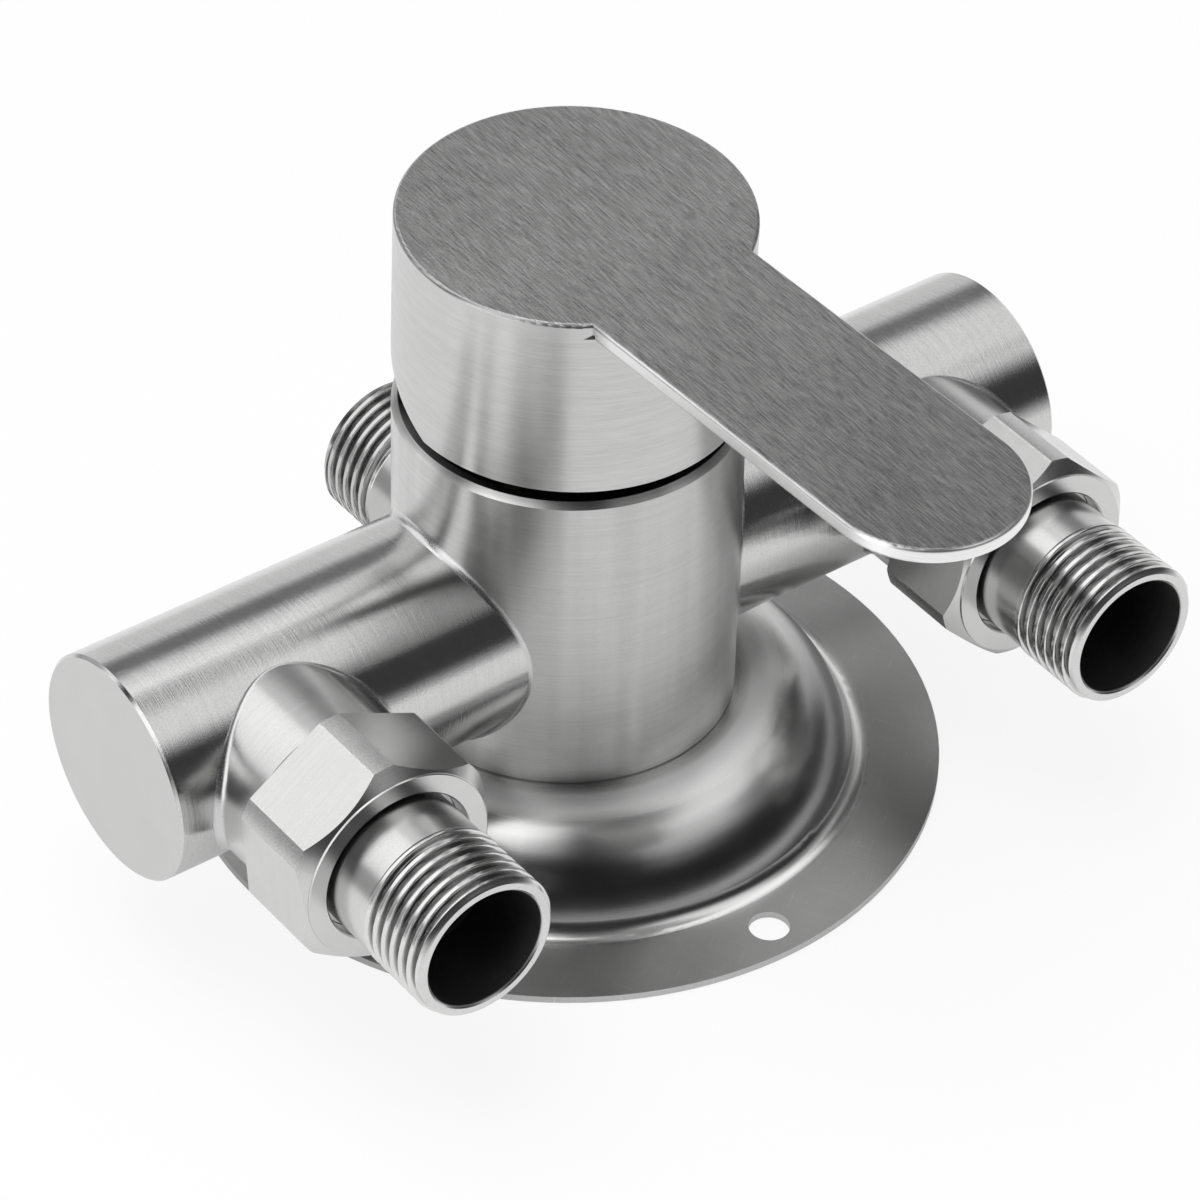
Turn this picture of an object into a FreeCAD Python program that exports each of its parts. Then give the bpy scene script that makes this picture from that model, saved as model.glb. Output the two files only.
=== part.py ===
import FreeCAD, Part
import math
import os

# Exposed single-lever mixing valve, sizes in millimetres.
# Origin: centre of the wall flange's back face. +Z comes out of the wall along the barrel.
# +X runs along the cross tube. The lever and both inlets point to -Y and the outlet to +Y.

# Wall flange: a domed sheet with a flat rim
flange_radius = 51.4
sheet = 1.0
dome_height = 12.9
dome_arc = 14.5
dome_fillet = 2.5
collar_width = 2.0
screw_circle = 92.5
screw_hole_diameter = 5.5
screw_count = 3

# Clearances
running = 0.05
loose = 0.1
edge_break = 0.4
overshoot = 5.0

# Barrel, which stands on the dome
barrel_radius = 23.15
barrel_length = 47.0
lip_chamfer = 0.8
lip_wall = 1.9
lip_depth = 9.9
seam_chamfer = 0.25
spigot_radius = 18.0
spigot_length = 8.0
spigot_hollow_radius = 11.0
spigot_hollow_depth = 11.0
barrel_top = dome_height + barrel_length

# Cross tube and its ends
tube_radius = 15.65
tube_wall = 1.5
tube_rise = 18.3
tube_reach = 71.3
end_cap_thickness = 2.2
end_cap_plug = 3.0
tube_height = dome_height + tube_rise

# Threaded ends for half-inch pipe
pipe_thread_radius = 10.4775
pipe_bore_radius = 8.55
pipe_neck_step = 0.28
pipe_lead_drop = 0.58
pipe_lead = 0.6
inlet_thread_length = 12.0
outlet_thread_length = 11.0
outlet_stand = 19.05
outlet_rise = 12.0
pipe_neck_radius = pipe_thread_radius - pipe_neck_step
pipe_mouth_radius = pipe_thread_radius - pipe_lead_drop
outlet_height = dome_height + outlet_rise
outlet_reach = barrel_radius + outlet_stand

# Inlet unions, measured forwards from the cross tube's axis
inlet_spacing = 104.3
boss_radius = 13.3
boss_step = 1.3
boss_shoulder = 21.9
gasket_thickness = 2.0
collar_thickness = 2.0
ledge_thickness = 2.7
union_gap = 0.2
nut_flats = 28.0
nut_length = 13.7
nut_face_gain = 0.4
nut_hole_gap = 0.37
nut_chamfer = 1.0
nut_ridge = 2.0
nut_turn_left = 34.0
nut_turn_right = 17.0
tailpiece_stand = 18.7
union_thread_radius = boss_radius - boss_step
nut_face_radius = nut_flats / 2 + nut_face_gain
nut_hole_radius = pipe_thread_radius + nut_hole_gap
nut_back = boss_shoulder + 2 * union_gap
nut_front = nut_back + nut_length
boss_face = nut_front - ledge_thickness - union_gap - collar_thickness - gasket_thickness
inlet_reach = nut_front + tailpiece_stand

# Cartridge, 35 mm across, and the waterways under its seat
seat_depth = 27.9
seat_height = barrel_top - seat_depth
cartridge_radius = 17.5
inlet_port_x = 7.0
inlet_port_y = -4.0
inlet_port_radius = 3.0
outlet_port_y = 7.0
outlet_port_radius = 4.0
waterway_radius = 3.5
seal_wall = 1.6
seal_depth = 1.6
base_thickness = 4.0
fixed_disc_thickness = 4.0
moving_disc_thickness = 3.6
moving_disc_radius = 11.2
mixing_hollow_radius = 6.0
mixing_hollow_depth = 2.0
cavity_radius = 14.5
cavity_height = 16.4
housing_height = 21.0
neck_radius = 12.2
neck_height = 5.5
base_top = seat_height + base_thickness
sliding_face = base_top + fixed_disc_thickness
disc_top = sliding_face + moving_disc_thickness
cavity_top = base_top + cavity_height
shoulder_height = base_top + housing_height
neck_top = shoulder_height + neck_height

# Turning head and the carrier that slides under it
rotor_radius = 11.0
rotor_flange_radius = 14.0
rotor_flange_thickness = 2.8
rotor_sink = 0.5
rail_inner = 8.6
rail_thickness = 2.0
rail_half_length = 8.0
carrier_plate = 2.0
carrier_half_length = 7.6
carrier_offset = 2.6
lug_half_width = 2.0
lug_depth = 2.6
pin_radius = 1.5
pin_half_length = 10.5
rotor_top = neck_top - rotor_sink
rotor_foot = cavity_top - loose - rotor_flange_thickness
rail_foot = disc_top + carrier_plate
carrier_top = rotor_foot - 2 * loose

# Spindle
lift = 25.0
spindle_neck_radius = 1.9
spindle_shank_radius = 2.6
knuckle_radius = 3.6
spindle_square = 7.0
ball_radius = 2.9
pocket_radius = ball_radius + loose
pocket_skin = 0.7
socket_roof = 3.15
pivot_depth = 3.0
pivot_height = neck_top - pivot_depth
ball_height = disc_top + pocket_skin + loose + ball_radius
ball_drop = pivot_height - ball_height

# Lock nut that holds the cartridge down
lock_wall = 1.5
lock_web = 2.2
lock_length = 13.8
lock_slot_width = 3.0
lock_slot_depth = 1.4
lock_slot_count = 6
lock_thread_radius = cartridge_radius + lock_wall
lock_nut_top = shoulder_height + lock_web

# Ring nut behind the flange
ring_nut_wall = 4.5
ring_nut_thickness = 4.5
ring_slot_width = 4.0
ring_slot_depth = 2.5
ring_slot_count = 4

# Handle: a turned cup under a keyhole-shaped plate
cap_radius = 23.28
cap_wall = 2.0
cap_gap = 2.55
cap_height = 26.9
plate_thickness = 2.2
blade_half_width = 13.0
blade_reach = 79.7
blade_edge = 0.5
relief_angle = 22.5
relief_start = 0.5
hub_radius = 8.5
hub_gap = 5.0
screw_rise = 8.5
set_screw_radius = 2.5
set_screw_length = 4.8
key_flats = 2.5
key_depth = 2.5
index_hole_radius = 2.8
index_plug_length = 3.2
index_plug_seat = 0.4
cap_foot = barrel_top + cap_gap
cap_top = cap_foot + cap_height
plate_foot = cap_top - plate_thickness
hub_foot = neck_top + hub_gap
screw_height = hub_foot + screw_rise
spindle_top = plate_foot - socket_roof

# How the handle stands: turned about the barrel's axis, and drooping on its pivot
handle_turn = 2.7
handle_droop = 1.2

X_AXIS = FreeCAD.Vector(1, 0, 0)
Y_AXIS = FreeCAD.Vector(0, 1, 0)
Z_AXIS = FreeCAD.Vector(0, 0, 1)
LEFT = -1
RIGHT = 1


def rod(radius, start, direction, length):
    return Part.makeCylinder(radius, length, FreeCAD.Vector(*start), direction)


def upright(radius, low, high, x=0.0, y=0.0):
    return rod(radius, (x, y, low), Z_AXIS, high - low)


def block(low, high):
    size = [b - a for a, b in zip(low, high)]
    return Part.makeBox(size[0], size[1], size[2], FreeCAD.Vector(*low))


def turned(steps):
    # Revolves an outline of (radius, height) points; a pair of points is an arc's middle and end.
    edges = []
    here = steps[0]
    for step in list(steps[1:]) + [steps[0]]:
        if isinstance(step[0], tuple):
            middle, end = step
            points = [FreeCAD.Vector(p[0], 0, p[1]) for p in (here, middle, end)]
            edges.append(Part.Arc(*points).toShape())
        else:
            end = step
            start_point = FreeCAD.Vector(here[0], 0, here[1])
            end_point = FreeCAD.Vector(end[0], 0, end[1])
            edges.append(Part.makeLine(start_point, end_point))
        here = end
    face = Part.Face(Part.Wire(edges))
    return face.revolve(FreeCAD.Vector(0, 0, 0), Z_AXIS, 360)


def facing_front(shape, x, height):
    # Lays a turned shape down so that its own +Z points to -Y, at the given x and height.
    laid = shape.copy()
    laid.rotate(FreeCAD.Vector(0, 0, 0), X_AXIS, 90)
    laid.translate(FreeCAD.Vector(x, 0, height))
    return laid


def facing_back(shape, x, height):
    laid = shape.copy()
    laid.rotate(FreeCAD.Vector(0, 0, 0), X_AXIS, -90)
    laid.translate(FreeCAD.Vector(x, 0, height))
    return laid


def turn_with_handle(shape):
    shape.rotate(FreeCAD.Vector(0, 0, 0), Z_AXIS, handle_turn)
    return shape


def stand_with_handle(shape):
    shape.rotate(FreeCAD.Vector(0, 0, pivot_height), X_AXIS, handle_droop)
    return turn_with_handle(shape)


def on_circle(tool, count):
    copies = []
    for index in range(count):
        copy = tool.copy()
        copy.rotate(FreeCAD.Vector(0, 0, 0), Z_AXIS, index * 360.0 / count)
        copies.append(copy)
    return copies


# Body that stays still

def wall_flange():
    arc_radius = collar_width + barrel_radius
    arc_height = dome_height - dome_arc
    drop = sheet + dome_fillet - arc_height
    foot_radius = arc_radius + math.sqrt((dome_arc + dome_fillet) ** 2 - drop ** 2)
    slope = math.atan2(drop, foot_radius - arc_radius)

    def on_dome(angle, inset):
        reach = dome_arc - inset
        return (arc_radius + reach * math.cos(angle), arc_height + reach * math.sin(angle))

    def on_fillet(angle, inset):
        reach = dome_fillet + inset
        return (foot_radius - reach * math.cos(angle), sheet + dome_fillet - reach * math.sin(angle))

    half_way = (slope + math.pi / 2) / 2
    bore = spigot_radius + loose
    plate = turned([
        (bore, dome_height),
        (arc_radius, dome_height),
        (on_dome(half_way, 0), on_dome(slope, 0)),
        (on_fillet(half_way, 0), (foot_radius, sheet)),
        (flange_radius, sheet),
        (flange_radius, 0.0),
        (foot_radius, 0.0),
        (on_fillet(half_way, sheet), on_fillet(slope, sheet)),
        (on_dome(half_way, sheet), (arc_radius, dome_height - sheet)),
        (bore, dome_height - sheet),
    ])
    hole = upright(screw_hole_diameter / 2, -overshoot, overshoot, y=-screw_circle / 2)
    return plate.cut(on_circle(hole, screw_count))


def flange_ring_nut():
    top = dome_height - sheet
    low = top - ring_nut_thickness
    outer = spigot_radius + ring_nut_wall
    nut = upright(outer, low, top).cut(upright(spigot_radius + running, low, top))
    half_width = ring_slot_width / 2
    slot = block((-half_width, outer - ring_slot_depth, low), (half_width, outer + overshoot, top))
    return nut.cut(on_circle(slot, ring_slot_count))


def valve_barrel():
    lip_radius = barrel_radius - lip_wall
    bore = cartridge_radius + loose
    thread_foot = lock_nut_top - lock_web - lock_length - 2 * loose
    spigot_foot = dome_height - spigot_length
    body = turned([
        (0.0, seat_height),
        (bore, seat_height),
        (bore, thread_foot),
        (lock_thread_radius, thread_foot),
        (lock_thread_radius, barrel_top - lip_depth),
        (lip_radius, barrel_top - lip_depth),
        (lip_radius, barrel_top),
        (barrel_radius - lip_chamfer, barrel_top),
        (barrel_radius, barrel_top - lip_chamfer),
        (barrel_radius, dome_height + seam_chamfer),
        (barrel_radius - seam_chamfer, dome_height),
        (spigot_radius, dome_height),
        (spigot_radius, spigot_foot),
        (spigot_hollow_radius, spigot_foot),
        (spigot_hollow_radius, spigot_foot + spigot_hollow_depth),
        (0.0, spigot_foot + spigot_hollow_depth),
    ])
    cuts = []
    far = barrel_radius + overshoot
    for side in (LEFT, RIGHT):
        x = side * inlet_port_x
        cuts.append(upright(inlet_port_radius, outlet_height, seat_height + overshoot, x, inlet_port_y))
        start = (x - side * inlet_port_radius, inlet_port_y, outlet_height)
        cuts.append(rod(waterway_radius, start, X_AXIS * side, far))
    cuts.append(upright(outlet_port_radius, outlet_height, seat_height + overshoot, y=outlet_port_y))
    start = (0.0, outlet_port_y - outlet_port_radius, outlet_height)
    cuts.append(rod(outlet_port_radius, start, Y_AXIS, far))
    return body.cut(cuts)


def cross_arm(side):
    length = tube_reach - end_cap_thickness
    start = (0, 0, tube_height)
    tube = rod(tube_radius, start, X_AXIS * side, length)
    tube = tube.cut(rod(tube_radius - tube_wall, start, X_AXIS * side, length))
    tube = tube.cut(upright(barrel_radius, 0.0, barrel_top))
    opening = rod(pipe_bore_radius, (side * inlet_spacing / 2, 0, tube_height), -Y_AXIS, 2 * tube_radius)
    return tube.cut(opening)


def end_cap(side):
    plug_radius = tube_radius - tube_wall - running
    total = end_cap_plug + end_cap_thickness
    cap = turned([
        (0.0, end_cap_plug),
        (plug_radius - tube_wall, end_cap_plug),
        (plug_radius - tube_wall, 0.0),
        (plug_radius, 0.0),
        (plug_radius, end_cap_plug),
        (tube_radius, end_cap_plug),
        (tube_radius, total - edge_break),
        (tube_radius - edge_break, total),
        (0.0, total),
    ])
    cap.rotate(FreeCAD.Vector(0, 0, 0), Y_AXIS, 90 * side)
    cap.translate(FreeCAD.Vector(side * (tube_reach - total), 0, tube_height))
    return cap


def inlet_boss(side):
    x = side * inlet_spacing / 2
    thread = union_thread_radius - running
    spud = turned([
        (pipe_bore_radius, 0.0),
        (boss_radius, 0.0),
        (boss_radius, boss_shoulder - edge_break),
        (boss_radius - edge_break, boss_shoulder),
        (thread, boss_shoulder),
        (thread, boss_face - edge_break),
        (thread - edge_break, boss_face),
        (pipe_bore_radius, boss_face),
    ])
    spud = facing_front(spud, x, tube_height)
    reach = tube_reach + overshoot
    return spud.cut(rod(tube_radius, (-reach, 0, tube_height), X_AXIS, 2 * reach))


def union_nut(side, nut_turn):
    length = nut_front - nut_back
    corner = nut_flats / math.sqrt(3)
    points = []
    for index in range(7):
        angle = math.radians(60 * index)
        points.append(FreeCAD.Vector(corner * math.cos(angle), corner * math.sin(angle), nut_back))
    prism = Part.Face(Part.makePolygon(points)).extrude(Z_AXIS * length)
    ridges = [edge for edge in prism.Edges if edge.BoundBox.ZLength > length / 2]
    prism = prism.makeFillet(nut_ridge, ridges)
    # A turned cone breaks the front corners and leaves a round face.
    envelope = turned([
        (union_thread_radius, nut_back),
        (corner, nut_back),
        (corner, nut_front - nut_chamfer),
        (nut_face_radius, nut_front),
        (nut_hole_radius, nut_front),
        (nut_hole_radius, nut_front - ledge_thickness),
        (union_thread_radius, nut_front - ledge_thickness),
    ])
    nut = prism.common(envelope)
    nut.rotate(FreeCAD.Vector(0, 0, 0), Z_AXIS, nut_turn)
    return facing_front(nut, side * inlet_spacing / 2, tube_height)


def union_gasket(side):
    outer = union_thread_radius - edge_break
    ring = upright(outer, boss_face, boss_face + gasket_thickness)
    ring = ring.cut(upright(pipe_bore_radius, boss_face, boss_face + gasket_thickness))
    return facing_front(ring, side * inlet_spacing / 2, tube_height)


def pipe_end(root_steps, reach, thread_length):
    # A pipe with an outside thread at its end; its first steps lead from the bore to the neck.
    return turned(root_steps + [
        (pipe_neck_radius, reach - thread_length),
        (pipe_thread_radius, reach - thread_length),
        (pipe_thread_radius, reach - pipe_lead),
        (pipe_mouth_radius, reach),
        (pipe_bore_radius, reach),
    ])


def tailpiece(side):
    root = boss_face + gasket_thickness
    collar = union_thread_radius - 3 * loose
    steps = [(pipe_bore_radius, root), (collar, root), (collar, root + collar_thickness),
             (pipe_neck_radius, root + collar_thickness)]
    pipe = pipe_end(steps, inlet_reach, inlet_thread_length)
    return facing_front(pipe, side * inlet_spacing / 2, tube_height)


def outlet_nipple():
    root = barrel_radius / 2
    pipe = pipe_end([(pipe_bore_radius, root), (pipe_neck_radius, root)], outlet_reach, outlet_thread_length)
    pipe = facing_back(pipe, 0.0, outlet_height)
    return pipe.cut(upright(barrel_radius, 0.0, barrel_top))


# Cartridge

def port_tools(radius_gain, low, high):
    tools = []
    for side in (LEFT, RIGHT):
        radius = inlet_port_radius + radius_gain
        tools.append(upright(radius, low, high, side * inlet_port_x, inlet_port_y))
    tools.append(upright(outlet_port_radius + radius_gain, low, high, y=outlet_port_y))
    return tools


def cartridge_base():
    disc = upright(cartridge_radius, seat_height, base_top)
    disc = disc.cut(port_tools(0.0, seat_height, base_top))
    return disc.cut(port_tools(seal_wall, seat_height, seat_height + seal_depth))


def base_seals():
    rings = port_tools(seal_wall - running, seat_height, seat_height + seal_depth)
    holes = port_tools(0.0, seat_height, seat_height + seal_depth)
    return Part.makeCompound([ring.cut(hole) for ring, hole in zip(rings, holes)])


def fixed_disc():
    disc = upright(cavity_radius - loose, base_top, sliding_face)
    return disc.cut(port_tools(0.0, base_top, sliding_face))


def cartridge_housing():
    return turned([
        (cavity_radius, base_top),
        (cartridge_radius, base_top),
        (cartridge_radius, shoulder_height),
        (neck_radius, shoulder_height),
        (neck_radius, neck_top),
        (rotor_radius + running, neck_top),
        (rotor_radius + running, cavity_top),
        (cavity_radius, cavity_top),
    ])


def cartridge_lock_nut():
    outer = lock_thread_radius - running
    foot = shoulder_height - lock_length
    nut = turned([
        (cartridge_radius + loose, foot),
        (outer, foot),
        (outer, lock_nut_top - edge_break),
        (outer - edge_break, lock_nut_top),
        (neck_radius + 2 * loose, lock_nut_top),
        (neck_radius + 2 * loose, shoulder_height),
        (cartridge_radius + loose, shoulder_height),
    ])
    half_width = lock_slot_width / 2
    slot = block((-half_width, lock_thread_radius - 2 * lock_wall, lock_nut_top - lock_slot_depth),
                 (half_width, lock_thread_radius + overshoot, lock_nut_top + overshoot))
    return nut.cut(on_circle(slot, lock_slot_count))


def carrier_centre():
    return socket_y() + carrier_offset


def socket_y():
    # The drooping spindle leaves its ball a little behind the barrel's axis.
    return ball_drop * math.sin(math.radians(handle_droop))


def side_blocks(inner, outer, half_length, low, high):
    # The same block at both sides of the barrel's axis.
    blocks = []
    for side in (LEFT, RIGHT):
        low_x, high_x = sorted((side * inner, side * outer))
        blocks.append(block((low_x, -half_length, low), (high_x, half_length, high)))
    return blocks


def moving_disc():
    low = sliding_face + running / 2
    disc = upright(moving_disc_radius, low, disc_top)
    # A blind hollow in the underside joins the ports when the disc slides.
    disc = disc.cut(upright(mixing_hollow_radius, low, low + mixing_hollow_depth))
    # Notches at both sides take the carrier's lugs.
    outer = moving_disc_radius + overshoot
    notch_foot = disc_top - lug_depth - loose
    disc = disc.cut(side_blocks(rail_inner, outer, lug_half_width + loose, notch_foot, disc_top))
    disc.translate(Y_AXIS * carrier_centre())
    return turn_with_handle(disc)


def disc_carrier():
    plate = upright(moving_disc_radius, disc_top, rail_foot - 2 * loose)
    half_width = rail_inner - loose
    head = block((-half_width, -carrier_half_length, disc_top), (half_width, carrier_half_length, carrier_top))
    rim = upright(moving_disc_radius, seat_height, barrel_top)
    outer = moving_disc_radius + overshoot
    lugs = side_blocks(rail_inner + loose, outer, lug_half_width, disc_top - lug_depth, disc_top)
    carrier = plate.fuse([head] + [lug.common(rim) for lug in lugs]).removeSplitter()
    carrier.translate(Y_AXIS * carrier_centre())
    pocket = upright(pocket_radius, disc_top + pocket_skin, carrier_top + overshoot, y=socket_y())
    return turn_with_handle(carrier.cut(pocket))


def cartridge_rotor():
    body = turned([
        (0.0, rotor_foot),
        (rotor_flange_radius, rotor_foot),
        (rotor_flange_radius, cavity_top - loose),
        (rotor_radius, cavity_top - loose),
        (rotor_radius, rotor_top),
        (0.0, rotor_top),
    ])
    # Two rails hang down and guide the carrier.
    outer = rail_inner + rail_thickness
    body = body.fuse(side_blocks(rail_inner, outer, rail_half_length, rail_foot, rotor_foot + edge_break))
    half_width = knuckle_radius + loose
    back_top, front_top = slot_edges(rotor_top)
    back_foot, front_foot = slot_edges(rotor_foot)
    outline = [(back_top, rotor_top), (back_foot, rotor_foot), (front_foot, rotor_foot),
               (front_top, rotor_top), (back_top, rotor_top)]
    wire = Part.makePolygon([FreeCAD.Vector(-half_width, y, z) for y, z in outline])
    slot = Part.Face(wire).extrude(X_AXIS * (2 * half_width))
    pin_hole = rod(pin_radius + running / 2, (-2 * rotor_radius, 0, pivot_height), X_AXIS, 4 * rotor_radius)
    return turn_with_handle(body.cut([slot, pin_hole]).removeSplitter())


def slot_edges(height):
    # The slot leaves room for the spindle from its droop to its full lift.
    rise = height - pivot_height
    raised = math.radians(lift - handle_droop)
    sides = []
    for angle in (raised, math.radians(-handle_droop)):
        middle = rise * math.tan(angle)
        reach = knuckle_radius / math.cos(angle) + edge_break
        sides.extend((middle + reach, middle - reach))
    return max(sides), min(sides)


def spindle_pin():
    pin = rod(pin_radius, (-pin_half_length, 0, pivot_height), X_AXIS, 2 * pin_half_length)
    return turn_with_handle(pin)


# Handle and what moves with it

def spindle():
    knuckle_foot = shoulder_height - pin_radius
    square_foot = hub_foot - hub_gap / 2
    shank_foot = (ball_height + knuckle_foot) / 2
    ball = Part.makeSphere(ball_radius, FreeCAD.Vector(0, 0, ball_height))
    neck = upright(spindle_neck_radius, ball_height, shank_foot)
    shank = upright(spindle_shank_radius, shank_foot, knuckle_foot)
    knuckle = upright(knuckle_radius, knuckle_foot, square_foot)
    half = spindle_square / 2
    square = block((-half, -half, square_foot), (half, half, spindle_top))
    shaft = ball.fuse([neck, shank, knuckle, square]).removeSplitter()
    start = (-2 * knuckle_radius, 0, pivot_height)
    cross_hole = rod(pin_radius + running, start, X_AXIS, 4 * knuckle_radius)
    return stand_with_handle(shaft.cut(cross_hole))


def handle_skirt():
    cup = turned([
        (cap_radius - cap_wall, cap_foot),
        (cap_radius - edge_break / 2, cap_foot),
        (cap_radius, cap_foot + edge_break / 2),
        (cap_radius, plate_foot),
        (cap_radius - cap_wall, plate_foot),
    ])
    # The back of the rim is cut on a slant to clear the barrel when the lever is up.
    rise = math.tan(math.radians(relief_angle))
    far = cap_radius + overshoot
    low = cap_foot - overshoot
    outline = [(relief_start, low), (relief_start, cap_foot),
               (far, cap_foot + (far - relief_start) * rise), (far, low), (relief_start, low)]
    wire = Part.makePolygon([FreeCAD.Vector(-far, y, z) for y, z in outline])
    relief = Part.Face(wire).extrude(X_AXIS * (2 * far))
    index_hole = rod(index_hole_radius, (0, 0, screw_height), Y_AXIS, far)
    return stand_with_handle(cup.cut([relief, index_hole]))


def lever_plate():
    tip_centre = blade_reach - blade_half_width
    disc = upright(cap_radius, plate_foot, cap_top)
    blade = block((-blade_half_width, -tip_centre, plate_foot), (blade_half_width, 0, cap_top))
    tip = upright(blade_half_width, plate_foot, cap_top, y=-tip_centre)
    plate = disc.fuse([blade, tip]).removeSplitter()
    rounded = []
    for edge in plate.Edges:
        box = edge.BoundBox
        level = box.ZLength < running
        at_top = level and abs(box.ZMin - cap_top) < running
        at_bottom = level and abs(box.ZMin - plate_foot) < running
        on_blade = box.YMax < -cap_radius / 2
        if at_top or (at_bottom and on_blade):
            rounded.append(edge)
    return stand_with_handle(plate.makeFillet(blade_edge, rounded))


def handle_hub():
    hub = upright(hub_radius, hub_foot, plate_foot)
    half = spindle_square / 2 + running
    socket = block((-half, -half, hub_foot), (half, half, spindle_top + 2 * loose))
    thread = rod(set_screw_radius + running, (0, 0, screw_height), Y_AXIS, 2 * hub_radius)
    return stand_with_handle(hub.cut([socket, thread]))


def set_screw():
    start = spindle_square / 2 + running / 2
    screw = rod(set_screw_radius, (0, start, screw_height), Y_AXIS, set_screw_length)
    corner = key_flats / math.sqrt(3)
    key_floor = start + set_screw_length - key_depth
    points = []
    for index in range(7):
        angle = math.radians(60 * index)
        height = screw_height + corner * math.sin(angle)
        points.append(FreeCAD.Vector(corner * math.cos(angle), key_floor, height))
    key = Part.Face(Part.makePolygon(points)).extrude(Y_AXIS * key_depth)
    return stand_with_handle(screw.cut(key))


def index_plug():
    start = cap_radius - cap_wall - index_plug_seat
    plug = rod(index_hole_radius - running / 2, (0, start, screw_height), Y_AXIS, index_plug_length)
    rim = []
    for edge in plug.Edges:
        if edge.BoundBox.YLength < running and edge.BoundBox.YMin > cap_radius:
            rim.append(edge)
    return stand_with_handle(plug.makeFillet(edge_break, rim))


def save(name, shape):
    shape.exportStep("parts/" + name + ".step")


os.makedirs("parts", exist_ok=True)

save("wall_flange", wall_flange())
save("flange_ring_nut", flange_ring_nut())
save("valve_barrel", valve_barrel())
for side, word, nut_turn in ((LEFT, "left", nut_turn_left), (RIGHT, "right", nut_turn_right)):
    save("cross_arm_" + word, cross_arm(side))
    save("end_cap_" + word, end_cap(side))
    save("inlet_boss_" + word, inlet_boss(side))
    save("union_nut_" + word, union_nut(side, nut_turn))
    save("union_gasket_" + word, union_gasket(side))
    save("tailpiece_" + word, tailpiece(side))
save("outlet_nipple", outlet_nipple())
save("cartridge_base", cartridge_base())
save("base_seals", base_seals())
save("fixed_disc", fixed_disc())
save("moving_disc", moving_disc())
save("disc_carrier", disc_carrier())
save("cartridge_housing", cartridge_housing())
save("cartridge_rotor", cartridge_rotor())
save("cartridge_lock_nut", cartridge_lock_nut())
save("spindle_pin", spindle_pin())
save("spindle", spindle())
save("handle_skirt", handle_skirt())
save("lever_plate", lever_plate())
save("handle_hub", handle_hub())
save("set_screw", set_screw())
save("index_plug", index_plug())
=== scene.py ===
import math

import bmesh
import bpy
from mathutils import Matrix, Vector


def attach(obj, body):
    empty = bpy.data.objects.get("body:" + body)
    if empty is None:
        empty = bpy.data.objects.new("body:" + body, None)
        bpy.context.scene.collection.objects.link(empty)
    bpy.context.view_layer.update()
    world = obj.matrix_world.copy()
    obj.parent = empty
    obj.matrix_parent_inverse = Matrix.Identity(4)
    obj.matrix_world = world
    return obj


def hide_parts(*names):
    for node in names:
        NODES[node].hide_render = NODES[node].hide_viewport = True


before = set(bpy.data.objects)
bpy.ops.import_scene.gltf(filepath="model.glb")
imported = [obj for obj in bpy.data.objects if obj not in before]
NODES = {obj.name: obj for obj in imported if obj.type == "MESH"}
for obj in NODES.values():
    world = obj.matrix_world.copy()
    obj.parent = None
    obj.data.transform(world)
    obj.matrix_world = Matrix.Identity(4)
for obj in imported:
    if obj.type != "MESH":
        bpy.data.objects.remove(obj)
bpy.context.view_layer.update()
MM = 0.001


# ---- sizes of the CAD model that the details sit on, in millimetres ----

BARREL_RADIUS = 23.15
TUBE_RADIUS = 15.65
TUBE_HEIGHT = 31.2
BOSS_RADIUS = 13.3
INLET_X = 52.15
OUTLET_HEIGHT = 24.9
THREAD_RADIUS = 10.4775
NECK_RADIUS = 10.2
MOUTH_RADIUS = 9.9
BORE_RADIUS = 8.55
COLLAR_RADIUS = 11.7
THREAD_PITCH = 1.814
THREAD_DEPTH = 1.05
INLET_REACH = 54.7
INLET_THREAD = 12.0
OUTLET_REACH = 42.2
OUTLET_THREAD = 11.0
TAILPIECE_ROOT = 31.1
OUTLET_ROOT = 21.5
COLLAR_THICKNESS = 2.0


# ---- camera, at the photograph's angle ----

AZIMUTH, ELEVATION, ROLL = -37.5, 39.63, 1.6
CAMERA_DISTANCE = 798.74
CAMERA_TARGET = (0.2, -7.53, 30.23)
IMAGE_WIDTH = 1200
FOCAL_PIXELS = 6043.13


def make_camera():
    azimuth, elevation, roll = (math.radians(v) for v in (AZIMUTH, ELEVATION, ROLL))
    back = Vector((math.sin(azimuth) * math.cos(elevation),
                   -math.cos(azimuth) * math.cos(elevation), math.sin(elevation)))
    level = Vector((math.cos(azimuth), math.sin(azimuth), 0))
    above = back.cross(level)
    right = math.cos(roll) * level + math.sin(roll) * above
    up = math.cos(roll) * above - math.sin(roll) * level
    data = bpy.data.cameras.new("camera")
    data.sensor_width = 36
    data.lens = FOCAL_PIXELS / IMAGE_WIDTH * data.sensor_width
    data.clip_start = 0.05
    data.clip_end = 20
    camera = bpy.data.objects.new("camera", data)
    bpy.context.scene.collection.objects.link(camera)
    place = (Vector(CAMERA_TARGET) + back * CAMERA_DISTANCE) * MM
    camera.matrix_world = Matrix((
        (right.x, up.x, back.x, place.x),
        (right.y, up.y, back.y, place.y),
        (right.z, up.z, back.z, place.z),
        (0, 0, 0, 1)))
    bpy.context.scene.camera = camera


# ---- node helpers ----

BUMP_DISTANCE = 0.0001
# Brush lines: how often they change across and along, per metre.
LINE = 6500.0
ALONG = 110.0

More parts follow.
